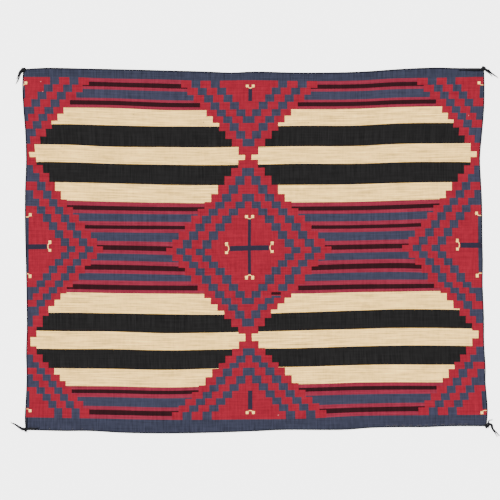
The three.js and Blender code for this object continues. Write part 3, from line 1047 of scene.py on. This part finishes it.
class BLANKET_OT_tassels(bpy.types.Operator):
    """Ties the corner knots, with their loose ends"""

    bl_idname = "blanket.tassels"
    bl_label = "Tie Corner Tassels"

    KNOT = {"radius": 10.5, "height": 10.5, "thickness": 8}
    WINDING_THICKNESS = 6.4
    CLEARANCE = 0.1
    END_SHARE = 0.42
    END_POINTS = 40
    FRAY_LENGTH = 9
    FRAY_STEPS = 5
    FRAY_ROOT_STEPS = 2
    STRAND_SHARE = 0.27
    LAY_SHARE = 0.23
    PITCH_SHARE = 3.2

    def cord_settings(self, thickness, wool, end_share=1.0):
        """Sizes of a three-strand cord of that thickness in mm."""
        return {
            "Strand Radius": self.STRAND_SHARE * thickness * MM,
            "Lay Radius": self.LAY_SHARE * thickness * MM,
            "Pitch": self.PITCH_SHARE * thickness * MM,
            "Steps per Turn": 9.0,
            "End Share": end_share,
            "Material": wool,
        }

    def execute(self, context):
        wool = yarn_material("tassel_wool_yarn", context.scene.blanket_colours.tassel)
        cord = tree_named("plied_cord", cord_tree)
        fray = tree_named("frayed_end", fray_tree)
        for corner, (name, tassel) in enumerate(TASSELS.items()):
            knot = knot_route(tassel["middle"], **self.KNOT)
            mid_x, mid_y = tassel["middle"]
            windings = [
                winding_route(mid_x + x, mid_y + y, radius, height, self.WINDING_THICKNESS)
                for x, y, radius, height in tassel["windings"]
            ]
            pieces = [
                tree_object("knot", [knot], cord, self.cord_settings(self.KNOT["thickness"], wool)),
                tree_object("windings", windings, cord, self.cord_settings(self.WINDING_THICKNESS, wool)),
            ]
            for thickness, points in tassel["ends"]:
                route = curved(points, self.END_POINTS)
                radii = thickness / 2 * np.linspace(1, self.END_SHARE, len(route))
                route[:, 2] += (radii + self.CLEARANCE) * MM
                settings = self.cord_settings(thickness, wool, self.END_SHARE)
                end = tree_object("end", [route], cord, settings)
                ahead = heading(route[-3], route[-1])
                tip = [
                    route[-1] + ahead * step * self.FRAY_LENGTH * MM / self.FRAY_STEPS
                    for step in range(-self.FRAY_ROOT_STEPS, self.FRAY_STEPS + 1)
                ]
                seed = context.scene.blanket_sizes.seed + 10 * corner + len(pieces)
                wisp = tree_object("wisp", [tip], fray, {"Seed": seed, "Material": wool})
                pieces += [end, wisp]
            whole = join_meshes(f"knot_{name}", pieces)
            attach(whole, "root")
            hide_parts(f"tassel_{name}")
        return {"FINISHED"}


class BLANKET_OT_warp_loops(bpy.types.Operator):
    """Adds the grey warp loops that show along the bottom edge"""

    bl_idname = "blanket.warp_loops"
    bl_label = "Add Warp Loops"

    FROM_EDGE = 6.5
    POINTS = 8
    PLY_RADIUS = 0.5
    PLY_LAY = 0.35
    PLY_PITCH = 5
    LOW = 2.2
    RISE = 1.9
    PLACE_CHANGE = 4
    LENGTH_SHARES = (0.6, 1.2)

    def execute(self, context):
        sizes = context.scene.blanket_sizes
        draws = np.random.default_rng(sizes.seed)
        line = cord_route("bottom")
        routes = []
        for first, last, spacing, length in WARP_LOOPS:
            for start in np.arange(first, last, spacing):
                long = length * draws.uniform(*self.LENGTH_SHARES)
                begin = start + draws.uniform(-self.PLACE_CHANGE, self.PLACE_CHANGE)
                x = (begin + np.linspace(0, long, self.POINTS)) * MM
                y = np.interp(x, line[:, 0], line[:, 1]) + self.FROM_EDGE * MM
                arch = np.sin(np.linspace(0, math.pi, self.POINTS)) ** 0.5
                z = (self.LOW + self.RISE * arch) * MM
                routes.append(np.column_stack((x, y, z)))
        settings = {
            "Strands": 2,
            "Strand Radius": self.PLY_RADIUS * MM,
            "Lay Radius": self.PLY_LAY * MM,
            "Pitch": self.PLY_PITCH * MM,
            "Material": yarn_material("warp_wool_yarn", context.scene.blanket_colours.warp),
        }
        loops = tree_object("warp_loops", routes, tree_named("plied_cord", cord_tree), settings)
        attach(loops, "root")
        return {"FINISHED"}


class BLANKET_OT_stage(bpy.types.Operator):
    """Sets the floor, the lights and the camera"""

    bl_idname = "blanket.stage"
    bl_label = "Set Stage"

    FLOOR_SIZE = 40
    FLOOR_GLOW = 2.5
    SKY = 1.0
    SUN = 6
    SUN_SPREAD = 0.35
    SUN_FROM = (-1.6, 2.2, 3.4)
    VIEW_WIDTH = 2.0
    VIEW_MIDDLE = (0, -0.002, 0)
    LENS = 200
    SENSOR = 36

    def execute(self, context):
        scene = context.scene
        half = self.FLOOR_SIZE / 2
        mesh = bpy.data.meshes.new("floor")
        corners = [(-half, -half, 0), (half, -half, 0), (half, half, 0), (-half, half, 0)]
        mesh.from_pydata(corners, [], [(0, 1, 2, 3)])
        floor = link_object("floor", mesh)
        material, _, shader = new_material("floor_paper")
        shader.inputs["Base Color"].default_value = (*scene.blanket_colours.floor, 1)
        shader.inputs["Emission Color"].default_value = (1, 1, 1, 1)
        shader.inputs["Emission Strength"].default_value = self.FLOOR_GLOW
        mesh.materials.append(material)

        world = bpy.data.worlds.new("studio")
        world.use_nodes = True
        backdrop = world.node_tree.nodes["Background"]
        backdrop.inputs["Color"].default_value = (1, 1, 1, 1)
        backdrop.inputs["Strength"].default_value = self.SKY
        scene.world = world

        light = bpy.data.lights.new("soft_light", "SUN")
        light.energy = self.SUN
        light.angle = self.SUN_SPREAD
        lamp = bpy.data.objects.new("soft_light", light)
        lamp.location = self.SUN_FROM
        lamp.rotation_euler = (-Vector(lamp.location)).to_track_quat("-Z", "Y").to_euler()
        scene.collection.objects.link(lamp)

        data = bpy.data.cameras.new("camera")
        data.lens = self.LENS
        data.sensor_width = self.SENSOR
        data.clip_end = 100
        camera = bpy.data.objects.new("camera", data)
        height = self.VIEW_WIDTH * self.LENS / self.SENSOR
        camera.location = Vector(self.VIEW_MIDDLE) + Vector((0, 0, height))
        scene.collection.objects.link(camera)
        scene.camera = camera
        return {"FINISHED"}


class BLANKET_OT_declare(bpy.types.Operator):
    """Does nothing, and returns at once"""

    bl_idname = "blanket.declare"
    bl_label = "Declare Cloth"

    def execute(self, context):
        return {"FINISHED"}


class BLANKET_PT_panel(bpy.types.Panel):
    """Lists the blanket's sizes, colours and pieces"""

    bl_idname = "BLANKET_PT_panel"
    bl_label = "Chief Blanket"
    bl_space_type = "VIEW_3D"
    bl_region_type = "UI"
    bl_category = "Blanket"

    def draw(self, context):
        layout = self.layout
        for group in (context.scene.blanket_sizes, context.scene.blanket_colours):
            box = layout.box()
            for name in group.__annotations__:
                box.prop(group, name)
        for operator in OPERATORS:
            layout.operator(operator.bl_idname)


OPERATORS = (
    BLANKET_OT_web,
    BLANKET_OT_edge_cords,
    BLANKET_OT_tassels,
    BLANKET_OT_warp_loops,
    BLANKET_OT_declare,
    BLANKET_OT_stage,
)
CLASSES = (BlanketSizes, BlanketColours, *OPERATORS, BLANKET_PT_panel)


def register():
    for item in CLASSES:
        bpy.utils.register_class(item)
    bpy.types.Scene.blanket_sizes = PointerProperty(type=BlanketSizes)
    bpy.types.Scene.blanket_colours = PointerProperty(type=BlanketColours)


def unregister():
    del bpy.types.Scene.blanket_colours
    del bpy.types.Scene.blanket_sizes
    for item in reversed(CLASSES):
        bpy.utils.unregister_class(item)


def main():
    register()
    bpy.ops.blanket.web()
    bpy.ops.blanket.edge_cords()
    bpy.ops.blanket.tassels()
    bpy.ops.blanket.warp_loops()
    bpy.ops.blanket.declare()
    bpy.ops.blanket.stage()


if __name__ == "__main__":
    main()
